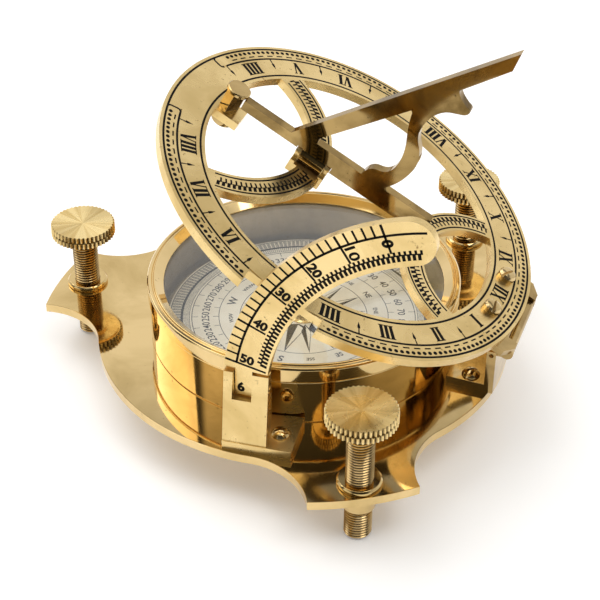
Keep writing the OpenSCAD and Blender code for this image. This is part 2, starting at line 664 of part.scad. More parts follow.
// flat outline of the gnomon, x towards the hinge and y over the ring's face
module gnomon_shape() {
  difference() {
    union() {
      translate([-tail_end, 2.75]) square([tail_end + fold_mid, 2.45]);
      translate([fold_mid - lug_len - lug_thick - 0.25, bar_low])
        square([18.5 - fold_mid + lug_len + lug_thick, bar_high - bar_low]);
      translate([-style_root, 5.2]) rotate(style_slope) polygon([[0, 0], [style_len, 0],
        [style_len - 3.4, -tip_w], [4, -style_w], [0, -style_w]]);
      polygon(concat([[-3, 27], [-8, 5], [5.2, 5], [5.2, 7.2]],
        bend([5.2, 7.2], [7.6, 10.5], [8.1, 15]),
        bend([8.1, 15], [8.5, 18.5], [6.3, 21.3]),
        bend([6.3, 21.3], [4, 23.8], [4.1, 26.5]),
        bend([4.1, 26.5], [4.5, 32.2], [8.1, 33.65]),
        bend([9, 34.1], [10.9, 34.8], [10.8, 36.1]),
        bend([10.8, 36.1], [10.5, 36.6], [9.6, 36.7]),
        bend([9.6, 36.7], [6, 38.1], [6.3, 39.6]),
        [[7.6, 42.6], [2.5, 36]]));
    }
    polygon(concat(bend([-12.9, 8.9], [-14, 6.9], [-12.3, bar_high]),
      bend([-1, bar_high], [-0.6, 9.6], [1.4, 10.1]),
      bend([1.4, 10.1], [4.4, 10.6], [4.5, 14.2]),
      bend([4.5, 14.2], [4.7, 17.6], [2.9, 21.4]),
      bend([2.9, 21.4], [1.2, 25], [0.6, 27.8]),
      [[0.15, 28.2]]));
    for (m = [-1, 1]) translate([fold_mid + m * (lug_len + lug_thick / 2) - lug_thick / 2 - 0.25, -1])
      square([lug_thick + 0.5, 1 + fold_rise + 1.45 + 0.2]);
  }
}

module gnomon() color(brass) on_ring() difference() {
  union() {
    translate([0, gnomon_thick / 2, 0]) rotate([90, 0, 0]) linear_extrude(gnomon_thick) gnomon_shape();
    translate([fold_mid, 0, fold_rise]) rotate([0, 90, 0])
      cylinder(r = knuckle2_r, h = fold_len, center = true, $fn = 48);
  }
  translate([fold_mid, 0, fold_rise]) rotate([0, 90, 0])
    cylinder(d = gnomon_pin_d + 2 * run_gap, h = 4 * fold_len, center = true, $fn = 32);
}

base_plate();
screw_bushes();
rod_left();
rod_front();
rod_back();
knob_left();
knob_front();
knob_back();
compass_case();
case_screws();
pivot_pin();
card_magnet();
compass_card();
card_cap();
glass_gasket();
glass();
bezel();
latitude_bracket();
latitude_pin();
latitude_arc();
hinge_bracket();
bracket_screws();
hinge_pin();
hinge_leaf();
ring_screws();
hour_ring();
gnomon_post();
post_nut();
gnomon_pin();
gnomon();
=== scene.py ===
import json
import math

import bmesh
import bpy
from mathutils import Matrix, Vector

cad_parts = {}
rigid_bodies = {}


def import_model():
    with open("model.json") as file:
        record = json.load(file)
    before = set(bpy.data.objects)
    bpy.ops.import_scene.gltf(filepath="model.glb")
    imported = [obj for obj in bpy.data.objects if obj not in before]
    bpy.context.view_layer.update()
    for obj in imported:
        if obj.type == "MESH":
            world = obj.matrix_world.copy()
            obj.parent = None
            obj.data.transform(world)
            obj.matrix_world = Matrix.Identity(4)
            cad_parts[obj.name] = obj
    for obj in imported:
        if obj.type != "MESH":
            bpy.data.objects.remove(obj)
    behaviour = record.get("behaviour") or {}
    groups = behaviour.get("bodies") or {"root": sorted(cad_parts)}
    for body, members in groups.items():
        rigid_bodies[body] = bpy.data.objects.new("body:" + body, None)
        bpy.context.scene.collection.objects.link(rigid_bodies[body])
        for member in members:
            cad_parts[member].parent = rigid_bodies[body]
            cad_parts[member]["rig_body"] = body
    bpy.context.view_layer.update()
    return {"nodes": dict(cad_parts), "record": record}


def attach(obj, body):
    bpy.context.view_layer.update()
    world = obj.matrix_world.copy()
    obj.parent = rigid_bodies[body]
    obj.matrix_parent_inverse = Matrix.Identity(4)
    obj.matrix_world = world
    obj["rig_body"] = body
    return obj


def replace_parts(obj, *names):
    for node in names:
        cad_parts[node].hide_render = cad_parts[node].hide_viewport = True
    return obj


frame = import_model()
print("frame loaded with", len(frame["nodes"]), "nodes")

mm = 0.001
tiny = 1e-6
slotOfNode = {part["node"]: part["material_slot"] for part in frame["record"]["subparts"]}


def addNode(tree, kind, inputs=None, **settings):  # an input takes a plain value or a socket to link from
    node = tree.nodes.new(kind)
    for name, value in settings.items():
        setattr(node, name, value)
    for name, value in (inputs or {}).items():
        if isinstance(value, bpy.types.NodeSocket):
            tree.links.new(value, node.inputs[name])
        else:
            node.inputs[name].default_value = value
    return node


def calc(tree, operation, first, second):
    return addNode(tree, "ShaderNodeMath", {0: first, 1: second}, operation=operation).outputs[0]


def mapRange(tree, value, fromEnds, toEnds=(0.0, 1.0), **settings):
    ends = {"From Min": fromEnds[0], "From Max": fromEnds[1], "To Min": toEnds[0], "To Max": toEnds[1]}
    return addNode(tree, "ShaderNodeMapRange", dict(ends, Value=value), **settings).outputs[0]


def mixColour(tree, amount, first, second, **settings):  # first and second are colours or sockets
    ends = [end if isinstance(end, bpy.types.NodeSocket) else tuple(end) + (1.0,) for end in (first, second)]
    inputs = {0: amount, 6: ends[0], 7: ends[1]}
    return addNode(tree, "ShaderNodeMix", inputs, data_type="RGBA", **settings).outputs[2]


def fromAxis(tree, place):  # the way out from the Z axis, how far out, and how high
    split = addNode(tree, "ShaderNodeSeparateXYZ", {0: place}).outputs
    flat = addNode(tree, "ShaderNodeCombineXYZ", {0: split[0], 1: split[1]}).outputs[0]
    reach = addNode(tree, "ShaderNodeVectorMath", {0: flat}, operation="LENGTH").outputs["Value"]
    return flat, reach, split[2]


def addBump(tree, shader, height, strength, deep):
    bump = addNode(tree, "ShaderNodeBump", {"Height": height, "Strength": strength, "Distance": deep})
    tree.links.new(bump.outputs[0], shader.inputs["Normal"])


def newGroup(name, takes, gives):  # takes: name -> (kind, start value), gives: name -> kind
    group = bpy.data.node_groups.new(name, "ShaderNodeTree")
    for label, (kind, value) in takes.items():
        socket = group.interface.new_socket(name=label, in_out="INPUT", socket_type=kind)
        if value is not None:
            socket.default_value = value
    for label, kind in gives.items():
        group.interface.new_socket(name=label, in_out="OUTPUT", socket_type=kind)
    return group, addNode(group, "NodeGroupInput").outputs, addNode(group, "NodeGroupOutput").inputs


def useGroup(tree, group, **inputs):
    return addNode(tree, "ShaderNodeGroup", inputs, node_tree=group).outputs


def newMaterial(name):
    material = bpy.data.materials.new(name)
    material.use_nodes = True
    tree = material.node_tree
    place = addNode(tree, "ShaderNodeTexCoord").outputs["Object"]
    return material, tree, tree.nodes["Principled BSDF"], place


def newPiece(name, bm, material, origin=(0.0, 0.0, 0.0)):
    mesh = bpy.data.meshes.new(name)
    bm.to_mesh(mesh)
    bm.free()
    mesh.materials.append(material)
    piece = bpy.data.objects.new(name, mesh)
    piece.location = origin
    bpy.context.scene.collection.objects.link(piece)
    return piece


def finishMesh(name, bm, material, body, smoothAngle=30.0, weighted=True, origin=(0.0, 0.0, 0.0)):
    bm.normal_update()
    piece = newPiece(name, bm, material, origin)
    piece.data.shade_smooth()
    piece.data.set_sharp_from_angle(angle=math.radians(smoothAngle))
    if weighted:
        piece.modifiers.new("evenShading", "WEIGHTED_NORMAL").keep_sharp = True
    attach(piece, body)
    return piece


def roundCorners(points, radius, steps=3):  # a closed outline with each corner turned into a short arc
    straight, most = math.radians(172), 0.45  # flatter corners stay, and an arc takes less than half of a side
    rounded = []
    for i, here in enumerate(points):
        here = Vector(here)
        back, ahead = Vector(points[i - 1]) - here, Vector(points[(i + 1) % len(points)]) - here
        if here.x < tiny or min(back.length, ahead.length) < tiny or back.angle(ahead) > straight:
            rounded.append(here)
            continue
        cut = min(radius, most * back.length, most * ahead.length)
        start, end = here + back.normalized() * cut, here + ahead.normalized() * cut
        for step in range(steps + 1):
            t = step / steps
            rounded.append(start * (1 - t) ** 2 + here * 2 * t * (1 - t) + end * t * t)
    return rounded


def turnProfile(bm, points, segments):  # turns an outline of (radius, height) in mm about Z
    circles = []
    for reach, height in points:
        if reach < tiny:
            circles.append([bm.verts.new((0.0, 0.0, height * mm))])
            continue
        circle = []
        for k in range(segments):
            angle = math.tau * k / segments
            circle.append(bm.verts.new((reach * mm * math.cos(angle), reach * mm * math.sin(angle), height * mm)))
        circles.append(circle)
    for i, low in enumerate(circles):
        high = circles[(i + 1) % len(circles)]
        for k in range(segments):
            n = (k + 1) % segments
            if len(low) == 1 and len(high) > 1:
                bm.faces.new((low[0], high[n], high[k]))
            elif len(high) == 1 and len(low) > 1:
                bm.faces.new((low[k], low[n], high[0]))
            elif len(low) > 1:
                bm.faces.new((low[k], low[n], high[n], high[k]))


# effects that several finishes share: stains and specks, polishing lines, the marks of a lathe, and light and dark
# sectors of painted reflection
tarnish, take, give = newGroup(
    "tarnishCloud",
    {"Vector": ("NodeSocketVector", None), "Scale": ("NodeSocketFloat", 60.0), "Spots": ("NodeSocketFloat", 0.5)},
    {"Cloud": "NodeSocketFloat", "Specks": "NodeSocketFloat"},
)
soft = addNode(tarnish, "ShaderNodeTexNoise", {
    "Vector": take["Vector"], "Scale": take["Scale"], "Detail": 4.0, "Roughness": 0.6, "Distortion": 0.6,
})
grit = addNode(tarnish, "ShaderNodeTexNoise", {
    "Vector": take["Vector"], "Scale": calc(tarnish, "MULTIPLY", take["Scale"], 14.0), "Detail": 2.0,
})
speckEdge = calc(tarnish, "SUBTRACT", 0.78, calc(tarnish, "MULTIPLY", take["Spots"], 0.14))
tarnish.links.new(mapRange(tarnish, soft.outputs[0], (0.38, 0.68)), give["Cloud"])
tarnish.links.new(mapRange(tarnish, grit.outputs[0], (speckEdge, 0.8)), give["Specks"])

polishLines, take, give = newGroup(
    "polishLines",
    {
        "Vector": ("NodeSocketVector", None), "Scale": ("NodeSocketFloat", 900.0),
        "Stretch": ("NodeSocketVector", (1.0, 0.06, 1.0)),
    },
    {"Height": "NodeSocketFloat"},
)
pulled = addNode(polishLines, "ShaderNodeVectorMath", {0: take["Vector"], 1: take["Stretch"]}, operation="MULTIPLY")
lines = addNode(polishLines, "ShaderNodeTexNoise", {
    "Vector": pulled.outputs[0], "Scale": take["Scale"], "Detail": 3.0, "Roughness": 0.65,
})
polishLines.links.new(lines.outputs[0], give["Height"])

turnedRings, take, give = newGroup(
    "turnedRings",
    {"Vector": ("NodeSocketVector", None), "Pitch": ("NodeSocketFloat", 0.00025)},
    {"Height": "NodeSocketFloat", "PaintedFan": "NodeSocketFloat"},
)
flat, reach = fromAxis(turnedRings, take["Vector"])[:2]
counted = calc(turnedRings, "DIVIDE", reach, take["Pitch"])
uneven = addNode(turnedRings, "ShaderNodeTexNoise", {"W": counted, "Scale": 1.0, "Detail": 2.0}, noise_dimensions="1D")
facing = addNode(turnedRings, "ShaderNodeVectorMath", {0: flat}, operation="NORMALIZE")
# painted reflection: light and dark sectors by direction from the axis, laid into a knob's colour
rays = addNode(turnedRings, "ShaderNodeTexNoise", {
    "Vector": facing.outputs[0], "Scale": 2.6, "Detail": 3.0, "Roughness": 0.55,
})
turnedRings.links.new(uneven.outputs[0], give["Height"])
turnedRings.links.new(rays.outputs[0], give["PaintedFan"])


def cloudTint(tree, place, values, first="light", second="dark"):
    stain = useGroup(tree, tarnish, Vector=place, Scale=values["cloudScale"], Spots=values["spots"])
    return stain, mixColour(tree, stain["Cloud"], values[first], values[second])


def brassFinish(name, values):
    material, tree, shader, place = newMaterial(name)
    stain, tint = cloudTint(tree, place, values)
    tree.links.new(mixColour(tree, stain["Specks"], tint, values["speck"]), shader.inputs["Base Color"])
    tree.links.new(mapRange(tree, stain["Cloud"], (0.0, 1.0), values["rough"]), shader.inputs["Roughness"])
    shader.inputs["Metallic"].default_value = 1.0
    height = useGroup(tree, polishLines, Vector=place, Scale=values["lineScale"], Stretch=values["stretch"])
    addBump(tree, shader, height["Height"], values["bump"], values["bumpDeep"])
    return material


polishedValues = {
    "light": (0.82, 0.61, 0.30), "dark": (0.60, 0.43, 0.18), "speck": (0.30, 0.19, 0.08),
    "cloudScale": 45.0, "spots": 0.45, "rough": (0.04, 0.10),
    "lineScale": 700.0, "stretch": (1.0, 0.12, 1.0), "bump": 0.10, "bumpDeep": 0.00002,
}
satinValues = {
    "light": (0.86, 0.65, 0.31), "dark": (0.68, 0.49, 0.20), "speck": (0.30, 0.19, 0.07),
    "cloudScale": 70.0, "spots": 0.8, "rough": (0.22, 0.34),
    "lineScale": 900.0, "stretch": (1.0, 0.10, 1.0), "bump": 0.25, "bumpDeep": 0.00003,
}
gnomonValues = {
    "light": (0.42, 0.285, 0.11), "dark": (0.13, 0.08, 0.025), "speck": (0.08, 0.05, 0.02),
    "cloudScale": 75.0, "spots": 0.6, "rough": (0.05, 0.14),
    "lineScale": 420.0, "stretch": (0.18, 1.0, 0.18), "bump": 0.3, "bumpDeep": 0.00004,
}
screwValues = {
    "light": (0.78, 0.59, 0.31), "dark": (0.56, 0.41, 0.19), "speck": (0.24, 0.15, 0.07),
    "cloudScale": 180.0, "spots": 0.5, "rough": (0.08, 0.18),
    "lineScale": 1500.0, "stretch": (1.0, 1.0, 0.2), "bump": 0.15, "bumpDeep": 0.00002,
}
drumFinish = dict(polishedValues, rough=(0.03, 0.09), cloudScale=30.0)
insideFinish = dict(satinValues, light=(0.46, 0.38, 0.27), dark=(0.32, 0.26, 0.18), rough=(0.35, 0.5))
agedFinish = dict(
    polishedValues, light=(0.60, 0.43, 0.19), dark=(0.36, 0.245, 0.10), rough=(0.06, 0.16), cloudScale=90.0,
)
threadFinish = dict(screwValues, light=(0.52, 0.37, 0.17), dark=(0.32, 0.215, 0.09), rough=(0.14, 0.24))
knobFinish = dict(
    polishedValues, light=(0.97, 0.76, 0.37), dark=(0.92, 0.70, 0.32), rough=(0.24, 0.34), cloudScale=120.0,
)
polishedBrass = brassFinish("polishedBrass", polishedValues)
satinBrass = brassFinish("satinBrass", satinValues)
gnomonBrass = brassFinish("gnomonBrass", gnomonValues)
screwBrass = brassFinish("screwBrass", screwValues)
drumBrass = brassFinish("drumBrass", drumFinish)
insideBrass = brassFinish("insideBrass", insideFinish)
agedBrass = brassFinish("agedBrass", agedFinish)
threadBrass = brassFinish("threadBrass", threadFinish)
knobBrass = brassFinish("knobBrass", knobFinish)


def darkDepths(material, values):  # paints shade onto what lies deep in a turned piece's teeth or thread
    tree = material.node_tree
    base = tree.nodes["Principled BSDF"].inputs["Base Color"]
    reach, height = fromAxis(tree, addNode(tree, "ShaderNodeTexCoord").outputs["Object"])[1:]
    mask = mapRange(tree, reach, (values["deep"] * mm, values["shallow"] * mm), (1.0, 0.0))
    limits = (("GREATER_THAN", reach, "least"), ("GREATER_THAN", height, "low"), ("LESS_THAN", height, "high"))
    for operation, place, limit in limits:
        mask = calc(tree, "MULTIPLY", mask, calc(tree, operation, place, values[limit] * mm))
    tree.links.new(mixColour(tree, mask, base.links[0].from_socket, values["shade"]), base)


# the knobs' tops show the fan of light of a turned face: fine rings as bumps and anisotropic sheen, and light and dark
# sectors painted into the colour as painted reflection
fanValues = {
    "pitch": 0.0003, "ends": (0.40, 0.56), "dim": (0.80, 0.74, 0.62), "full": (1.0, 1.0, 1.0),
    "bump": 0.35, "bumpDeep": 0.00002, "anisotropic": 0.85,
}
# painted shade: a dark colour laid deep in the knobs' teeth and in the rods' thread grooves
knobDepthShade = {"shallow": 7.95, "deep": 7.5, "least": 7.4, "low": 0.1, "high": 3.46, "shade": (0.09, 0.055, 0.02)}
threadDepthShade = {"shallow": 3.12, "deep": 2.86, "least": 2.6, "low": -13.0, "high": 30.0, "shade": (0.07, 0.04, 0.015)}
tree = knobBrass.node_tree
shader = tree.nodes["Principled BSDF"]
base = shader.inputs["Base Color"]
place = addNode(tree, "ShaderNodeTexCoord").outputs["Object"]
turned = useGroup(tree, turnedRings, Vector=place, Pitch=fanValues["pitch"])
# painted reflection: the fan's light and dark sectors darken the knob's colour
paintedSectors = mixColour(tree, mapRange(tree, turned["PaintedFan"], fanValues["ends"]), fanValues["dim"], fanValues["full"])
tree.links.new(mixColour(tree, 1.0, base.links[0].from_socket, paintedSectors, blend_type="MULTIPLY"), base)
darkDepths(knobBrass, knobDepthShade)
darkDepths(threadBrass, threadDepthShade)
addBump(tree, shader, turned["Height"], fanValues["bump"], fanValues["bumpDeep"])
shader.inputs["Anisotropic"].default_value = fanValues["anisotropic"]
around = addNode(tree, "ShaderNodeTangent", direction_type="RADIAL", axis="Z")
tree.links.new(around.outputs[0], shader.inputs["Tangent"])
print("brass finishes made")

paperValues = {
    "light": (0.80, 0.74, 0.62), "dark": (0.70, 0.63, 0.50), "cloudScale": 90.0, "spots": 0.3, "rough": 0.55,
    "fibreScale": 2500.0, "stretch": (1.0, 0.5, 1.0), "bump": 0.25, "bumpDeep": 0.00003,
}
dialPaper, tree, shader, place = newMaterial("dialPaper")
tree.links.new(cloudTint(tree, place, paperValues)[1], shader.inputs["Base Color"])
fibres = useGroup(tree, polishLines, Vector=place, Scale=paperValues["fibreScale"], Stretch=paperValues["stretch"])
addBump(tree, shader, fibres["Height"], paperValues["bump"], paperValues["bumpDeep"])
shader.inputs["Roughness"].default_value = paperValues["rough"]


def inkFinish(name, values):
    material, tree, shader, place = newMaterial(name)
    tree.links.new(cloudTint(tree, place, values, "dark", "light")[1], shader.inputs["Base Color"])
    shader.inputs["Roughness"].default_value = values["rough"]
    shader.inputs["Specular IOR Level"].default_value = values["specular"]
    return material


blackValues = {
    "dark": (0.002, 0.0015, 0.001), "light": (0.007, 0.005, 0.003), "cloudScale": 300.0, "spots": 0.6,
    "rough": 0.6, "specular": 0.1,
}
dialInkValues = {
    "dark": (0.012, 0.014, 0.022), "light": (0.03, 0.034, 0.045), "cloudScale": 260.0, "spots": 0.3,
    "rough": 0.6, "specular": 0.1,
}
blackFill = inkFinish("blackFill", blackValues)
dialInk = inkFinish("dialInk", dialInkValues)

glassValues = {"smearScale": 50.0, "spots": 0.0, "rough": (0.0, 0.04), "tint": (0.97, 0.99, 0.98, 1.0), "bends": 1.5}
windowGlass, tree, shader, place = newMaterial("windowGlass")
smear = useGroup(tree, tarnish, Vector=place, Scale=glassValues["smearScale"], Spots=glassValues["spots"])
tree.links.new(mapRange(tree, smear["Cloud"], (0.0, 1.0), glassValues["rough"]), shader.inputs["Roughness"])
shader.inputs["Base Color"].default_value = glassValues["tint"]
shader.inputs["Transmission Weight"].default_value = 1.0
shader.inputs["IOR"].default_value = glassValues["bends"]
rayKind = addNode(tree, "ShaderNodeLightPath").outputs
clearWay = calc(tree, "MAXIMUM", rayKind["Is Shadow Ray"], rayKind["Is Diffuse Ray"])
openAir = addNode(tree, "ShaderNodeBsdfTransparent")
choice = addNode(tree, "ShaderNodeMixShader", {0: clearWay, 1: shader.outputs[0], 2: openAir.outputs[0]})
# light falls through onto the card
tree.links.new(choice.outputs[0], tree.nodes["Material Output"].inputs["Surface"])

rubberValues = {
    "light": (0.03, 0.03, 0.03), "dark": (0.07, 0.065, 0.06), "cloudScale": 150.0, "spots": 0.5, "rough": 0.8,
}
gasketRubber, tree, shader, place = newMaterial("gasketRubber")
tree.links.new(cloudTint(tree, place, rubberValues)[1], shader.inputs["Base Color"])
shader.inputs["Roughness"].default_value = rubberValues["rough"]

steelValues = {"lineScale": 1500.0, "stretch": (1.0, 0.05, 1.0), "rough": (0.2, 0.45), "tint": (0.5, 0.5, 0.52, 1.0)}
magnetSteel, tree, shader, place = newMaterial("magnetSteel")
ground = useGroup(tree, polishLines, Vector=place, Scale=steelValues["lineScale"], Stretch=steelValues["stretch"])
tree.links.new(mapRange(tree, ground["Height"], (0.0, 1.0), steelValues["rough"]), shader.inputs["Roughness"])
shader.inputs["Base Color"].default_value = steelValues["tint"]
shader.inputs["Metallic"].default_value = 1.0
print("paper, glass, rubber and steel made")

finishOfSlot = {
    "polished_brass": polishedBrass, "satin_brass": satinBrass, "screw_brass": screwBrass, "dial_paper": dialPaper,
    "magnet_steel": magnetSteel, "gasket_rubber": gasketRubber, "window_glass": windowGlass,
}
finishOfNode = {  # pieces whose finish isn't the one of their slot
    "gnomon": gnomonBrass, "latitude_bracket": satinBrass, "hinge_bracket": agedBrass, "gnomon_post": agedBrass,
    "post_nut": agedBrass, "hinge_leaf": agedBrass, "bracket_screws": agedBrass,
}

# where the tilted ring lies, and how far its engraved lines reach
ringValues = {
    "hinge": (53.6, 0.0, 15.9), "tilt": 27.7, "middle": (-49.6, 0.0, 4.7),
    "lines": (47.2, 43.95, 38.3), "lineHalf": 0.32, "lineDeep": -0.4,
}
ringMatrix = (
    Matrix.Translation(Vector(ringValues["hinge"]) * mm)
    @ Matrix.Rotation(math.radians(ringValues["tilt"]), 4, "Y")
    @ Matrix.Translation(Vector(ringValues["middle"]) * mm)
    @ Matrix.Scale(mm, 4)
)
ringInverse = ringMatrix.inverted()


def inGroove(edge):  # the ring's engraved lines keep their sharp edges
    middle = ringInverse @ ((edge.verts[0].co + edge.verts[1].co) / 2)
    away = [abs(math.hypot(middle.x, middle.y) - line) for line in ringValues["lines"]]
    return middle.z > ringValues["lineDeep"] and min(away) < ringValues["lineHalf"]


# CAD nodes that get softened edges, each with its edge radius in mm
softened = {
    "base_plate": 0.25, "screw_bushes": 0.2, "case_screws": 0.08, "card_cap": 0.06, "latitude_bracket": 0.2,
    "latitude_arc": 0.22, "hinge_bracket": 0.25, "bracket_screws": 0.06, "hinge_leaf": 0.12, "ring_screws": 0.06,
    "hour_ring": 0.2, "gnomon_post": 0.12, "post_nut": 0.12, "gnomon": 0.4,
}
softValues = {"flat": 0.01, "corner": 30, "segments": 2, "profile": 0.7}


def softCopy(node, radius):
    source = frame["nodes"][node]
    bm = bmesh.new()
    bm.from_mesh(source.data)
    bmesh.ops.remove_doubles(bm, verts=bm.verts, dist=tiny)
    bmesh.ops.dissolve_limit(bm, angle_limit=softValues["flat"], verts=bm.verts, edges=bm.edges)
    rims = []
    for edge in bm.edges:
        if len(edge.link_faces) == 2 and edge.calc_face_angle(0) > math.radians(softValues["corner"]):
            if node != "hour_ring" or not inGroove(edge):
                rims.append(edge)
    bmesh.ops.bevel(
        bm, geom=rims, offset=radius * mm, offset_type="OFFSET", segments=softValues["segments"],
        profile=softValues["profile"], affect="EDGES", clamp_overlap=True,
    )
    finish = finishOfNode.get(node, finishOfSlot[slotOfNode[node]])
    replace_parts(finishMesh(node + "Soft", bm, finish, source["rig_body"]), node)


for node, radius in softened.items():
    softCopy(node, radius)
madeHere = ["compass_case", "bezel", "rod_left", "rod_front", "rod_back", "knob_left", "knob_front", "knob_back"]
for node, source in frame["nodes"].items():
    if node not in softened and node not in madeHere:
        source.data.materials.clear()
        source.data.materials.append(finishOfSlot[slotOfNode[node]])
print("CAD nodes dressed")

drumValues = {
    "radius": 37.7, "inside": 35.2, "bottom": 2.2, "floor": 3.1, "shoulder": 13.8, "collar": 36.87, "top": 14.7,
    "footCut": 0.2, "shoulderCut": 0.15, "edge": 0.12, "sides": 240,
}
d = drumValues
bm = bmesh.new()
turnProfile(bm, roundCorners([
    (0, d["bottom"]), (d["radius"] - d["footCut"], d["bottom"]), (d["radius"], d["bottom"] + d["footCut"]),
    (d["radius"], d["shoulder"] - d["shoulderCut"]), (d["radius"] - d["shoulderCut"], d["shoulder"]),
    (d["collar"], d["shoulder"]),
    (d["collar"], d["top"]), (d["inside"], d["top"]), (d["inside"], d["floor"]), (0, d["floor"]),
], d["edge"]), d["sides"])
drum = finishMesh("drum", bm, drumBrass, "base")
drum.data.materials.append(insideBrass)
for face in drum.data.polygons:  # the wall and floor inside the drum are dull
    reach = math.hypot(face.center.x, face.center.y)
    face.material_index = int(face.center.z > (d["floor"] - 0.05) * mm and reach < (d["inside"] + 0.3) * mm)
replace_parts(drum, "compass_case")

bezelValues = {
    "radius": 38.1, "seat": 36.93, "low": 13.9, "top": 18.15, "window": 34.1, "lip": 16.3, "cut": 0.25, "edge": 0.1,
    "sides": 240,  # each step is how far inward from the radius, and how far down from the top
    "steps": ((0.0, 0.65), (0.35, 0.25), (1.0, 0.15), (1.2, 0.5), (1.45, 0.5), (1.65, 0.05), (2.0, 0.0)),
}
b = bezelValues
bm = bmesh.new()
turnProfile(bm, roundCorners([
    (b["seat"], b["low"]), (b["radius"] - b["cut"], b["low"]), (b["radius"], b["low"] + b["cut"]),
    *((b["radius"] - inward, b["top"] - down) for inward, down in b["steps"]),
    (b["window"], b["lip"] + b["cut"]), (b["window"], b["lip"]), (b["seat"], b["lip"]),
], b["edge"]), b["sides"])
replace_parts(finishMesh("bezelRing", bm, drumBrass, "base"), "bezel")
print("drum and bezel turned")

screwLineValues = {"circle": 58.7, "azimuths": {"left": 182.4, "front": 302.4, "back": 62.4}}
threadValues = {
    "crest": 3.175, "root": 2.815, "pitch": 0.75, "tip": -12.7, "low": -12.1, "underKnob": 2.2, "sides": 40,
    "steps": (0.08, 0.40, 0.56, 0.92), "tipCut": 0.5, "overlap": 0.1, "edge": 0.1, "smooth": 40,
}
knobValues = {
    "radius": 8.0, "height": 3.5, "lows": {"left": 16.9, "front": 19.4, "back": 17.3},
    "collar": 0.6, "collarReach": (3.87, 4.27), "collarGap": 0.03, "core": 0.65, "coreDown": 0.6, "coreCut": 0.45,
    "teeth": 44, "toothDeep": 0.54, "toothTip": ((0.42, 0.07), (0.5, 0.0), (0.58, 0.07)), "broken": (0.14, 0.12),
    "rowLow": 0.3, "rowGap": 0.25, "dish": 0.3, "dishIn": 0.1, "edge": 0.15, "sides": 156, "smooth": 24,
}


def cutThread(bm, t, top):  # one continuous right-hand groove: each row of points climbs by a pitch in a turn
    sides, steps = t["sides"], t["steps"]
    turns = int((top - t["low"]) / t["pitch"]) + 2
    rows = {}
    for i in range(-8, turns * 4 + 4):
        for j in range(sides):
            height = t["low"] + t["pitch"] * (i // 4 + steps[i % 4] + j / sides)
            inside = t["low"] < height < top
            reach = (t["root"], t["crest"], t["crest"], t["root"])[i % 4] if inside else t["root"]
            height = min(max(height, t["low"]), top)
            angle = math.tau * j / sides
            rows[i, j] = bm.verts.new((reach * mm * math.cos(angle), reach * mm * math.sin(angle), height * mm))
    for i in range(-8, turns * 4 - 1):
        for j in range(sides):
            if j + 1 < sides:
                bm.faces.new((rows[i, j], rows[i, j + 1], rows[i + 1, j + 1], rows[i + 1, j]))
            else:
                bm.faces.new((rows[i, j], rows[i + 4, 0], rows[i + 5, 0], rows[i + 1, j]))
    bmesh.ops.remove_doubles(bm, verts=bm.verts, dist=1e-7)
    bmesh.ops.holes_fill(bm, edges=[edge for edge in bm.edges if len(edge.link_faces) == 1], sides=0)


def toothedRow(bm, k, turn, low, high, dish=0.0):  # one row of the knurl, with its edges broken
    inset, drop = k["broken"]
    levels = []
    for height, cut in ((low, inset), (low + drop, 0.0), (high - drop, 0.0), (high, inset)):
        level = []
        for tooth in range(k["teeth"]):
            for part, reach in ((0.0, k["toothDeep"]),) + k["toothTip"]:
                angle = turn + math.tau * (tooth + part) / k["teeth"]
                r = (k["radius"] - reach - (cut if part else 0.0)) * mm
                level.append(bm.verts.new((r * math.cos(angle), r * math.sin(angle), height * mm)))
        levels.append(level)
    for below, above in zip(levels, levels[1:]):
        for i in range(len(below)):
            n = (i + 1) % len(below)
            bm.faces.new((below[i], below[n], above[n], above[i]))
    bm.faces.new(list(reversed(levels[0])))
    if not dish:
        bm.faces.new(levels[-1])
        return
    rim = []
    for i in range(len(levels[-1])):  # the shallow cone on top starts just inside the teeth
        angle = turn + math.tau * i / len(levels[-1])
        r = (k["radius"] - k["toothDeep"] - k["dishIn"]) * mm
        rim.append(bm.verts.new((r * math.cos(angle), r * math.sin(angle), high * mm)))
    middle = bm.verts.new((0.0, 0.0, (high - dish) * mm))
    for i in range(len(rim)):
        n = (i + 1) % len(rim)
        bm.faces.new((levels[-1][i], levels[-1][n], rim[n], rim[i]))
        bm.faces.new((rim[i], rim[n], middle))


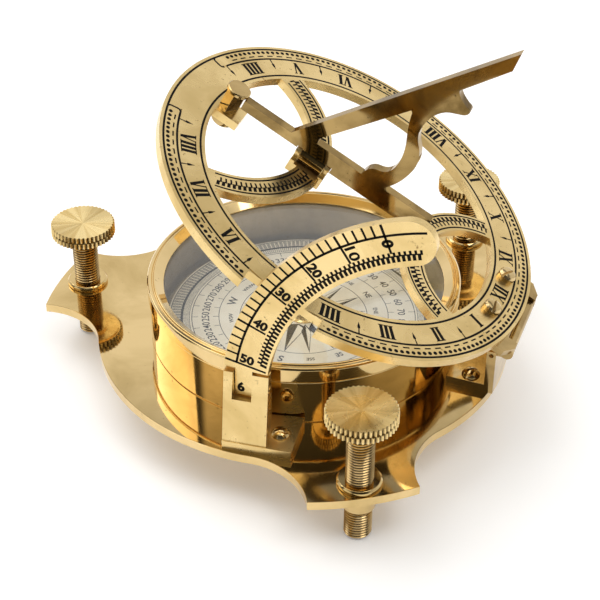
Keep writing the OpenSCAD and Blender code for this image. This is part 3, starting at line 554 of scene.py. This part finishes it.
t, k = threadValues, knobValues
for side, azimuth in screwLineValues["azimuths"].items():
    reach = screwLineValues["circle"] * mm
    spot = Vector((reach * math.cos(math.radians(azimuth)), reach * math.sin(math.radians(azimuth)), 0.0))
    low = k["lows"][side]
    top = low - t["underKnob"]
    neck = low - k["collar"] - k["collarGap"]
    bm = bmesh.new()
    cutThread(bm, t, top)
    tip = [(0, t["tip"]), (t["root"] - t["tipCut"], t["tip"]), (t["root"], t["low"]), (0, t["low"])]
    turnProfile(bm, roundCorners(tip, t["edge"]), t["sides"])
    shank, start = t["root"] + t["overlap"], top - t["overlap"]
    turnProfile(bm, [(0, start), (shank, start), (shank, neck), (0, neck)], t["sides"])
    name = "rod_" + side
    rod = finishMesh(name + "Thread", bm, threadBrass, name, t["smooth"], False, spot)
    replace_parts(rod, "rod_" + side)
    bm = bmesh.new()
    core, coreTop = k["radius"] - k["core"], k["height"] - k["coreDown"]
    turnProfile(bm, roundCorners([
        (0, -k["collar"]), (k["collarReach"][0], -k["collar"]), (k["collarReach"][1], 0), (core - k["coreCut"], 0),
        (core, k["rowLow"]), (core, coreTop), (0, coreTop),
    ], k["edge"]), k["sides"])
    row = (k["height"] - k["rowLow"] - k["rowGap"]) / 2
    toothedRow(bm, k, 0.0, k["rowLow"], k["rowLow"] + row)
    toothedRow(bm, k, math.pi / k["teeth"], k["height"] - row, k["height"], k["dish"])
    name = "knob_" + side
    middle = spot + Vector((0, 0, low * mm))
    knob = finishMesh(name + "Turned", bm, knobBrass, name, k["smooth"], True, middle)
    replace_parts(knob, "knob_" + side)
print("levelling screws made")

# marks are thin closed pieces, laid from below the surface to a little above it (depths in mm)
fillDepth = (-0.05, 0.012)
grooveDepth = (-0.14, 0.008)
printDepth = (-0.02, 0.01)


def slab(bm, surface, outline, depth, rise=0.0):  # a thin closed piece from a flat outline in mm
    area = sum(a[0] * b[1] - b[0] * a[1] for a, b in zip(outline, outline[1:] + outline[:1]))
    outline = outline if area > 0 else outline[::-1]
    under = [bm.verts.new(surface(x, y, depth[0])) for x, y in outline]
    over = [bm.verts.new(surface(x, y, depth[1] + rise)) for x, y in outline]
    bm.faces.new(over)
    bm.faces.new(under[::-1])
    for i in range(len(outline)):
        n = (i + 1) % len(outline)
        bm.faces.new((under[i], under[n], over[n], over[i]))


def strip(bm, surface, left, right, depth, closed=False):  # a thin closed piece between two lines of points
    low, high = depth
    sections = []
    for a, b in zip(left, right):
        sections.append([bm.verts.new(surface(p[0], p[1], h)) for p, h in ((a, low), (b, low), (b, high), (a, high))])
    pairs = list(zip(sections, sections[1:])) + ([(sections[-1], sections[0])] if closed else [])
    for here, ahead in pairs:
        for i in range(4):
            n = (i + 1) % 4
            bm.faces.new((here[i], here[n], ahead[n], ahead[i]))
    if not closed:
        bm.faces.new(sections[0][::-1])
        bm.faces.new(sections[-1])


def band(bm, surface, at, stops, low, high, depth, closed=False):  # a line along an arc, between two reaches
    strip(bm, surface, [at(stop, low) for stop in stops], [at(stop, high) for stop in stops], depth, closed)


def lettering(bm, surface, put, text, height, width, depth, bold):  # put(x, y) places a point of the text
    curve = bpy.data.curves.new("letterOutline", "FONT")
    curve.body = text
    curve.offset = bold
    curve.extrude = 0.5
    curve.resolution_u = 4
    holder = bpy.data.objects.new("letterOutline", curve)
    bpy.context.scene.collection.objects.link(holder)
    bpy.context.view_layer.update()
    shape = bpy.data.meshes.new_from_object(holder.evaluated_get(bpy.context.evaluated_depsgraph_get()))
    xs, ys = [vert.co.x for vert in shape.vertices], [vert.co.y for vert in shape.vertices]
    wide, tall = max(xs) - min(xs), max(ys) - min(ys)
    made = []
    for vert in shape.vertices:
        across = (vert.co.x - (min(xs) + max(xs)) / 2) * (width or height * wide / tall) / wide
        x, y = put(across, (vert.co.y - min(ys)) * height / tall)
        made.append(bm.verts.new(surface(x, y, depth[1] if vert.co.z > 0 else depth[0])))
    for face in shape.polygons:
        bm.faces.new([made[i] for i in face.vertices])
    bpy.data.objects.remove(holder)
    bpy.data.curves.remove(curve)
    bpy.data.meshes.remove(shape)


def inkPiece(name, bm, material, body):
    bmesh.ops.recalc_face_normals(bm, faces=bm.faces)
    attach(newPiece(name, bm, material), body)


footValues = {"along": 0.42, "lean": 0.4, "rise": 0.002}  # a comb's feet, against its step, its lean and its fill


def combPattern(bm, surface, put, length, c):  # a row of bold bars, each with a shorter foot beside it
    count = int(length / c["pitch"])
    step = length / count
    bold, thin, lean = c["bold"] / 2, c["thin"] / 2, c["lean"]
    low, mid, high, heel = c["low"], c["mid"], c["high"], c["mid"] - c["foot"]
    for i in range(count):
        s = (i + 0.5) * step
        t = s + lean + step * footValues["along"]
        tip = lean * footValues["lean"]
        bar = [put(s - bold, low), put(s + bold, low), put(s + bold + lean, mid), put(s - bold + lean, mid)]
        foot = [put(t - thin, heel), put(t + thin, heel), put(t + thin + tip, high), put(t - thin + tip, high)]
        link = [put(s + lean - bold, heel), put(t + thin, heel), put(t + thin, mid), put(s + lean - bold, mid)]
        slab(bm, surface, bar, fillDepth)
        slab(bm, surface, foot, fillDepth, footValues["rise"])
        slab(bm, surface, link, fillDepth, 2 * footValues["rise"])


hourValues = {
    "step": 19.04, "feet": 43.15, "tall": 3.8, "stem": 0.84, "serif": 0.25, "serifHalf": 0.68, "bend": 41.3,
    "lastRoom": 0.12,
}
rimValues = {
    "outLine": 47.2, "midLine": 43.95, "inLine": 38.3, "lineWide": 0.52, "first": -8.55, "last": 8.72,
    "lineEnd": 0.07, "firstEnd": 0.06, "endRadius": 0.85, "notchHalf": 9.3, "notchRoom": 0.25, "notchEdge": 43.5,
    "dotRing": 46.15, "dotStep": 1.83, "dotHalf": (0.51, 0.47), "dotStart": 0.13, "dotSpare": 0.2, "dotRoom": 0.7,
    "dashRing": 44.9, "dashLong": 1.65, "dashWide": 0.36, "dashRoom": 1.1,
    "pointer": ((0.17, 43.8), (0.13, 42.35), (0.36, 42.2), (0.3, 41.5), (0.1, 40.9), (0.05, 40.5)),
}
numerals = {
    0: "XII", 1: "I", 2: "II", 3: "III", 4: "IIII", 5: "V", 6: "VI", 7: "VII", 8: "VIII",
    -1: "XI", -2: "X", -3: "IX", -4: "VIII", -5: "VII", -6: "VI", -7: "V", -8: "IIII",
}
numeralStrokes = {  # outlines in mm from the left edge and the feet, and how far the next one stands
    "I": (1.25, [("stem", 0.7)]),
    "V": (2.65, [
        ("slope", 0.62, 1.52, 0.8), ("slope", 2.32, 1.58, 0.34), ("cap", 0.0, 1.35, 1), ("cap", 1.95, 2.8, 1),
    ]),
    "X": (2.85, [
        ("slope", 0.68, 2.32, 0.82), ("slope", 2.5, 0.5, 0.34), ("cap", 0.0, 1.35, 1), ("cap", 2.0, 3.0, 1),
        ("cap", 0.0, 1.0, 0), ("cap", 1.65, 3.0, 0),
    ]),
}
notchHour = 90 / hourValues["step"]
fullTurn = 360 / hourValues["step"]


def onRing(x, y, z):
    return ringMatrix @ Vector((x, y, z))


def atHour(hour, reach):
    angle = math.radians(hourValues["step"] * hour)
    return reach * math.cos(angle), -reach * math.sin(angle)


def hoursAcross(length, reach):  # how many hours a length in mm takes up at a reach
    return math.degrees(length / reach) / hourValues["step"]


def ringBand(bm, reach, wide, start, end, depth):
    steps = max(2, int(abs(end - start) * 12))
    hours = [start + (end - start) * i / steps for i in range(steps + 1)]
    band(bm, onRing, atHour, hours, reach - wide / 2, reach + wide / 2, depth)


def notchSpan(reach):  # half of the notch, in hours, with a little brass beside it
    return math.degrees(math.asin((rimValues["notchHalf"] + rimValues["notchRoom"]) / reach)) / hourValues["step"]


def inNotch(hour, reach, room):
    x, y = atHour(hour, reach)
    return y < -rimValues["notchEdge"] + room and abs(x) < rimValues["notchHalf"] + room


def strokeOutlines(letter):
    h = hourValues
    for kind, *sizes in numeralStrokes[letter][1]:
        if kind == "stem":
            middle, half, serif = sizes[0], h["stem"] / 2, h["serifHalf"]
            yield [(middle - half, 0), (middle + half, 0), (middle + half, h["tall"]), (middle - half, h["tall"])]
            for low in (0, h["tall"] - h["serif"]):
                high = low + h["serif"]
                yield [(middle - serif, low), (middle + serif, low), (middle + serif, high), (middle - serif, high)]
        elif kind == "slope":
            top, foot, half = sizes[0], sizes[1], sizes[2] / 2
            yield [(foot - half, 0), (foot + half, 0), (top + half, h["tall"]), (top - half, h["tall"])]
        else:
            left, right, low = sizes[0], sizes[1], (h["tall"] - h["serif"]) * sizes[2]
            yield [(left, low), (right, low), (right, low + h["serif"]), (left, low + h["serif"])]


def romanNumeral(bm, text, hour):  # feet outward, read from above, bent to the ring
    left = -(sum(numeralStrokes[letter][0] for letter in text) + hourValues["lastRoom"]) / 2
    for letter in text:
        for outline in strokeOutlines(letter):
            placed = [
                atHour(hour - hoursAcross(left + x, hourValues["bend"]), hourValues["feet"] - y) for x, y in outline
            ]
            slab(bm, onRing, placed, fillDepth)
        left += numeralStrokes[letter][0]


def frameEnd(bm, end, way, half):  # an end of the rim's frame, rounded at both corners
    radius = rimValues["endRadius"]
    path = []
    for corner, turn, push in ((rimValues["midLine"], 0, radius), (rimValues["outLine"], 90, -radius)):
        for i in range(7):
            angle = math.radians(turn + 90 * i / 6)
            path.append((radius - radius * math.sin(angle), corner + push - radius * math.cos(angle)))
    left, right = [], []
    for i, (inside, reach) in enumerate(path):
        back, ahead = path[max(i - 1, 0)], path[min(i + 1, len(path) - 1)]
        along = Vector((ahead[0] - back[0], ahead[1] - back[1])).normalized()
        for sideways, row in ((half, left), (-half, right)):
            across, out = inside - along.y * sideways, reach + along.x * sideways
            row.append(atHour(end + way * hoursAcross(across, out), out))
    strip(bm, onRing, left, right, fillDepth)


r = rimValues
half = r["lineWide"] / 2
bm = bmesh.new()
gap = notchSpan(r["outLine"])
ringBand(bm, r["outLine"], r["lineWide"], notchHour + gap, notchHour - gap + fullTurn, grooveDepth)
gap = notchSpan(r["midLine"])
ringBand(bm, r["midLine"], r["lineWide"], notchHour + gap, r["last"] - r["lineEnd"], grooveDepth)
ringBand(bm, r["midLine"], r["lineWide"], r["first"] + r["lineEnd"], notchHour - gap, grooveDepth)
hours = [fullTurn * i / 240 for i in range(240)]
band(bm, onRing, atHour, hours, r["inLine"] - half, r["inLine"] + half, grooveDepth, True)
for end, way in ((r["first"] - r["firstEnd"], 1), (r["last"], -1)):
    frameEnd(bm, end, way, half)
dotHours = r["dotStep"] / hourValues["step"]
for i in range(int((r["last"] - r["first"] - r["dotSpare"]) / dotHours)):
    hour = r["last"] - r["dotStart"] - i * dotHours
    if not inNotch(hour, r["dotRing"], r["dotRoom"]):
        outline = []
        for corner in range(12):
            angle = math.tau * corner / 12
            across, out = r["dotHalf"][0] * math.cos(angle), r["dotHalf"][1] * math.sin(angle)
            outline.append(atHour(hour + hoursAcross(across, r["dotRing"]), r["dotRing"] + out))
        slab(bm, onRing, outline, fillDepth)
    if i % 2 == 1 and not inNotch(hour, r["dashRing"], r["dashRoom"]):
        turn = hoursAcross(r["dashLong"] / 2, r["dashRing"])
        ringBand(bm, r["dashRing"], r["dashWide"], hour - turn, hour + turn, fillDepth)
for i in range(-9, 9):  # pointers at the half hours
    outline = list(r["pointer"]) + [(-across, reach) for across, reach in reversed(r["pointer"])]
    slab(bm, onRing, [atHour(i + 0.5 + hoursAcross(across, reach), reach) for across, reach in outline], fillDepth)
for hour, text in numerals.items():
    romanNumeral(bm, text, hour)

armValues = {  # the two curved arms: centre, middle radius, way, span in degrees, half width between the lines
    "far": {"middle": -37.8, "reach": 26.75, "way": 1, "spans": ((9.0, 66.0), (-66.0, -9.0)), "border": 2.0},
    "near": {"middle": 37.8, "reach": 19.6, "way": -1, "spans": ((-71.0, 71.0),), "border": 1.9},
}
armLineHalf = 0.22
armComb = {
    "pitch": 1.26, "bold": 0.78, "thin": 0.46, "lean": 0.25, "low": 1.4, "mid": 0.0, "high": -1.2, "foot": -0.3,
}
for arm in armValues.values():

    def onArm(angle, across, arm=arm):
        angle, reach = math.radians(angle), arm["reach"] + across
        return arm["middle"] + arm["way"] * reach * math.cos(angle), reach * math.sin(angle)

    for start, end in arm["spans"]:
        stops = [start + (end - start) * i / 40 for i in range(41)]
        for across in (-arm["border"], arm["border"]):
            band(bm, onRing, onArm, stops, across - armLineHalf, across + armLineHalf, fillDepth)

        def onArmComb(s, across, start=start, arm=arm):
            return onArm(start + math.degrees(s / arm["reach"]), across)

        combPattern(bm, onRing, onArmComb, math.radians(end - start) * arm["reach"], armComb)
inkPiece("ringMarks", bm, blackFill, "ring")
print("ring engraved")

# the latitude scale is engraved on the arc's outer face, about the ring's hinge
scaleValues = {
    "middle": (53.6, 15.9), "face": -46.2, "outer": 55.5, "circle": 52.8, "circleHalf": 0.27, "circleEnd": 77.5,
    "tens": 48.7, "last": 45.9, "lineWide": 0.56, "thinWide": 0.47, "wideAt": 52,
    "zero": 67.8, "slope": 1.10, "bend": 0.00136,  # the marks crowd together a little higher up
}
digitValues = {  # height, width, middle reach, how far it is moved along the arc, how much bolder
    "zero": {"tall": 2.6, "wide": 1.9, "reach": 51.05, "shift": -1.3, "bold": 0.05},
    "pair": {"tall": 2.5, "wide": 3.3, "reach": 50.6, "shift": 0.45, "bold": 0.05},
    "ten": {"tall": 2.5, "wide": 3.3, "reach": 50.6, "shift": 0.45, "bold": 0.03},
}
footDigit = {"text": "6", "tall": 2.7, "wide": 1.75, "spot": (2.42, 16.6), "bold": 0.055}
scaleComb = {
    "pitch": 1.12, "bold": 0.72, "thin": 0.54, "lean": 0.12, "low": -0.35, "mid": 1.2, "high": 1.95, "foot": 0.34,
}
combLine = {"start": 10.6, "end": 75.2, "radius": 47.2, "reach": 46.3, "widening": 0.8, "over": 65}


def onScale(x, y, z):
    return Vector((x, scaleValues["face"] - z, y)) * mm


def atRise(rise, reach):
    angle = math.radians(rise)
    return scaleValues["middle"][0] - reach * math.cos(angle), scaleValues["middle"][1] + reach * math.sin(angle)


def markRise(degree):
    return scaleValues["zero"] - scaleValues["slope"] * degree - scaleValues["bend"] * degree ** 2


def scaleLine(bm, rise, low, high, wide):
    turn = math.degrees(wide / 2 / scaleValues["wideAt"])
    left, right = rise - turn, rise + turn
    slab(bm, onScale, [atRise(left, low), atRise(right, low), atRise(right, high), atRise(left, high)], fillDepth)


def onComb(s, across):
    line = combLine
    rise = line["start"] + math.degrees(s / line["radius"])
    return atRise(rise, line["reach"] + line["widening"] * (rise - line["start"]) / line["over"] + across)


v = scaleValues
bm = bmesh.new()
lowest = markRise(50)
rises = [lowest + (v["circleEnd"] - lowest) * i / 90 for i in range(91)]
band(bm, onScale, atRise, rises, v["circle"] - v["circleHalf"], v["circle"] + v["circleHalf"], fillDepth)
for degree in range(0, 51, 2):
    tens = degree % 10 == 0
    low = v["last"] if degree == 50 else v["tens"] if tens else v["circle"]
    scaleLine(bm, markRise(degree), low, v["outer"], v["lineWide"] if tens else v["thinWide"])
for degree in range(0, 51, 10):
    digit = digitValues[{0: "zero", 10: "ten"}.get(degree, "pair")]

    def putDigit(x, y, turn=markRise(degree), digit=digit):
        return atRise(turn + math.degrees((y + digit["shift"]) / digit["reach"]), digit["reach"] - x)

    lettering(bm, onScale, putDigit, str(degree), digit["tall"], digit["wide"], fillDepth, digit["bold"])


def putFoot(x, y):
    return footDigit["spot"][0] + x, footDigit["spot"][1] + y


f = footDigit
lettering(bm, onScale, putFoot, f["text"], f["tall"], f["wide"], fillDepth, f["bold"])
combPattern(bm, onScale, onComb, math.radians(combLine["end"] - combLine["start"]) * combLine["radius"], scaleComb)
inkPiece("scaleMarks", bm, blackFill, "arc")
print("latitude scale engraved")

cardValues = {
    "top": 4.6, "north": 93.2,
    "circles": ((15.8, 0.16), (21.0, 0.16), (27.7, 0.18), (28.3, 0.1), (33.1, 0.2)),  # reach and line width
    "tickRing": (29.9, 30.5), "tickIn": 28.3, "tickOut": 32.9, "fiveTicks": 30.4, "tickWide": 0.13, "evenWide": 0.15,
    "spokes": ((21.0, 22.5), (26.1, 27.7)), "spokeWide": 0.14,
    "numberRing": 23.4, "numberMiddle": 0.9, "numberTall": 1.9, "numberBold": 0.01,
    "letterRing": 17.5, "letterMiddle": 0.8, "letterTall": 1.75, "letterBold": 0.02,
    "letterSizes": (1.25, 0.62, 0.85, 0.62),
}
directions = ["N", "NNE", "NE", "ENE", "E", "ESE", "SE", "SSE", "S", "SSW", "SW", "WSW", "W", "WNW", "NW", "NNW"]
starValues = {  # rows of points: how many, first bearing, length, waist, half angle of the waist
    "rows": ((8, 22.5, 15.6, 7.0, 10.0), (4, 45.0, 15.7, 6.2, 17.0), (4, 0.0, 15.75, 5.6, 25.0)),
    "feet": (4.1, 4.5), "hollowSide": 0.8, "hollowIn": 0.5, "hollowTip": 1.2, "rise": 0.012, "rowRise": 0.004,
}


def onCard(x, y, z):
    return Vector((x * mm, y * mm, (cardValues["top"] + z) * mm))


def atBearing(bearing, reach):
    angle = math.radians(cardValues["north"] - bearing)
    return reach * math.cos(angle), reach * math.sin(angle)


def radialMark(bm, bearing, low, high, wide):
    turn = math.degrees(wide / 2 / ((low + high) / 2))
    left, right = bearing + turn, bearing - turn
    outline = [atBearing(left, low), atBearing(left, high), atBearing(right, high), atBearing(right, low)]
    slab(bm, onCard, outline, printDepth)


def cardText(bm, text, bearing, reach, middle, tall, bold):
    def put(x, y):
        return atBearing(bearing + math.degrees(x / (reach + middle)), reach + y)

    lettering(bm, onCard, put, text, tall, 0, printDepth, bold)


def starPoint(bm, bearing, long, waist, side, depth):  # one half filled, the other one drawn as an outline
    tip, edge = atBearing(bearing, long), atBearing(bearing - side, waist)
    inner = atBearing(bearing - side * starValues["hollowSide"], waist + starValues["hollowIn"])
    foot, nearFoot = [atBearing(bearing, reach) for reach in starValues["feet"]]  # just outside the cap
    slab(bm, onCard, [tip, atBearing(bearing + side, waist), foot], depth)
    slab(bm, onCard, [tip, atBearing(bearing, long - starValues["hollowTip"]), inner, edge], depth)
    slab(bm, onCard, [edge, inner, nearFoot, foot], depth)


c = cardValues
bm = bmesh.new()
rounds = [360 * i / 180 for i in range(180)]
for reach, wide in c["circles"]:
    band(bm, onCard, atBearing, rounds, reach - wide / 2, reach + wide / 2, printDepth, True)
band(bm, onCard, atBearing, rounds, c["tickRing"][0], c["tickRing"][1], printDepth, True)
for bearing in range(360):
    radialMark(bm, bearing, c["tickIn"], c["tickRing"][0] if bearing % 5 else c["fiveTicks"], c["tickWide"])
    radialMark(bm, bearing + 0.5, c["tickRing"][1], c["tickOut"], c["tickWide"])
    if bearing % 2 == 0:
        radialMark(bm, bearing, c["tickRing"][1], c["tickOut"], c["evenWide"])
for bearing in range(0, 360, 10):
    for low, high in c["spokes"]:
        radialMark(bm, bearing, low, high, c["spokeWide"])
    number = str(bearing or 360)
    cardText(bm, number, bearing, c["numberRing"], c["numberMiddle"], c["numberTall"], c["numberBold"])
for i, name in enumerate(directions):
    tall = c["letterTall"] * c["letterSizes"][i % 4]
    cardText(bm, name, 22.5 * i, c["letterRing"], c["letterMiddle"], tall, c["letterBold"])
for order, (count, first, long, waist, side) in enumerate(starValues["rows"]):
    step = 360 / count
    depth = (printDepth[0], starValues["rise"] + order * starValues["rowRise"])
    for i in range(count):
        starPoint(bm, first + step * i, long, waist, side, depth)
inkPiece("cardPrint", bm, dialInk, "card")
print("compass card printed")

floorValues = {
    "height": -0.0127, "half": 2.5, "light": (0.98, 0.98, 0.98), "dark": (0.96, 0.96, 0.96), "cloudScale": 6.0,
    "spots": 0.0, "rough": 0.7, "specular": 0.2, "glow": (1.0, 0.99, 0.98, 1.0), "glowStrength": 0.14,
}
floorPaint, tree, shader, place = newMaterial("floorPaint")
tree.links.new(cloudTint(tree, place, floorValues)[1], shader.inputs["Base Color"])
shader.inputs["Roughness"].default_value = floorValues["rough"]
shader.inputs["Specular IOR Level"].default_value = floorValues["specular"]
shader.inputs["Emission Color"].default_value = floorValues["glow"]
shader.inputs["Emission Strength"].default_value = floorValues["glowStrength"]  # keeps the shadow pale
half = floorValues["half"]
corners = ((-half, -half), (half, -half), (half, half), (-half, half))
bm = bmesh.new()
bm.faces.new([bm.verts.new((x, y, floorValues["height"])) for x, y in corners])
newPiece("studioFloor", bm, floorPaint)

skyValues = {  # walls: degrees round the part and brightness, edge and ceiling: how steeply a ray points up
    "walls": (
        (-180, 0.75), (180, 0.75), (-170, 0.7), (-163, 0.1), (-155, 0.1), (-147, 1.0), (-116, 0.95), (-104, 0.12),
        (-36, 0.1), (-12, 0.6), (30, 0.8), (90, 0.95), (122, 0.95), (150, 0.95),
    ),
    "edge": (0.60, 0.70), "edgeLevels": (1.0, 0.22), "ceiling": (0.74, 0.92), "ceilingLevel": 1.35,
    "tint": (1.0, 0.99, 0.97, 1.0),
}
world = bpy.data.worlds.new("studioWorld")
bpy.context.scene.world = world
world.use_nodes = True
tree = world.node_tree
sky = tree.nodes["Background"]
way = addNode(tree, "ShaderNodeTexCoord").outputs["Generated"]
parts = addNode(tree, "ShaderNodeSeparateXYZ", {0: way}).outputs
turn = mapRange(tree, calc(tree, "ARCTAN2", parts[1], parts[0]), (-math.pi, math.pi))
panels = addNode(tree, "ShaderNodeValToRGB", {"Fac": turn})
ramp = panels.color_ramp
ramp.interpolation = "EASE"
for i, (degrees, level) in enumerate(skyValues["walls"]):
    stop = ramp.elements[i] if i < 2 else ramp.elements.new((degrees + 180) / 360)
    stop.position = (degrees + 180) / 360
    stop.color = (level, level, level, 1.0)
dim = mapRange(tree, parts[2], skyValues["edge"], skyValues["edgeLevels"], interpolation_type="SMOOTHSTEP")
wall = calc(tree, "MULTIPLY", panels.outputs[0], dim)  # the walls end in a dark edge
high = mapRange(tree, parts[2], skyValues["ceiling"], interpolation_type="SMOOTHSTEP")
whole = addNode(tree, "ShaderNodeMix", {0: high, 2: wall, 3: skyValues["ceilingLevel"]}, data_type="FLOAT")
tree.links.new(whole.outputs[0], sky.inputs["Strength"])
sky.inputs["Color"].default_value = skyValues["tint"]

lightValues = {  # place in metres, size, watts
    "keyLight": ((-0.88, 0.12, 1.2), (1.3, 1.3), 9.0),
    "fillLight": ((0.6, -0.2, 1.2), (0.6, 0.6), 3.0),
}
lightAim = Vector((0, 0, 0.02))
for name, (spot, size, watts) in lightValues.items():
    data = bpy.data.lights.new(name, "AREA")
    data.shape = "RECTANGLE"
    data.size, data.size_y = size
    data.energy = watts
    lamp = bpy.data.objects.new(name, data)
    lamp.location = spot
    lamp.rotation_euler = (lightAim - Vector(spot)).to_track_quat("-Z", "Y").to_euler()
    bpy.context.scene.collection.objects.link(lamp)

cameraValues = {
    "place": (0.10346, -0.28277, 0.22679), "heading": 20.27, "pitch": 54.20, "roll": 0.407,
    "lens": 90.32, "sensor": 36.0, "near": 0.01,
}
cameraData = bpy.data.cameras.new("photoCamera")
cameraData.lens = cameraValues["lens"]
cameraData.sensor_width = cameraValues["sensor"]
cameraData.clip_start = cameraValues["near"]
photoCamera = bpy.data.objects.new("photoCamera", cameraData)
photoCamera.matrix_world = (
    Matrix.Translation(cameraValues["place"])
    @ Matrix.Rotation(math.radians(cameraValues["heading"]), 4, "Z")
    @ Matrix.Rotation(math.radians(cameraValues["pitch"]), 4, "X")
    @ Matrix.Rotation(math.radians(cameraValues["roll"]), 4, "Z")
)
bpy.context.scene.collection.objects.link(photoCamera)
bpy.context.scene.camera = photoCamera
bpy.context.scene.view_settings.view_transform = "Standard"  # crisp white and deep brown
print("floor, light and camera placed")

bpy.context.view_layer.update()
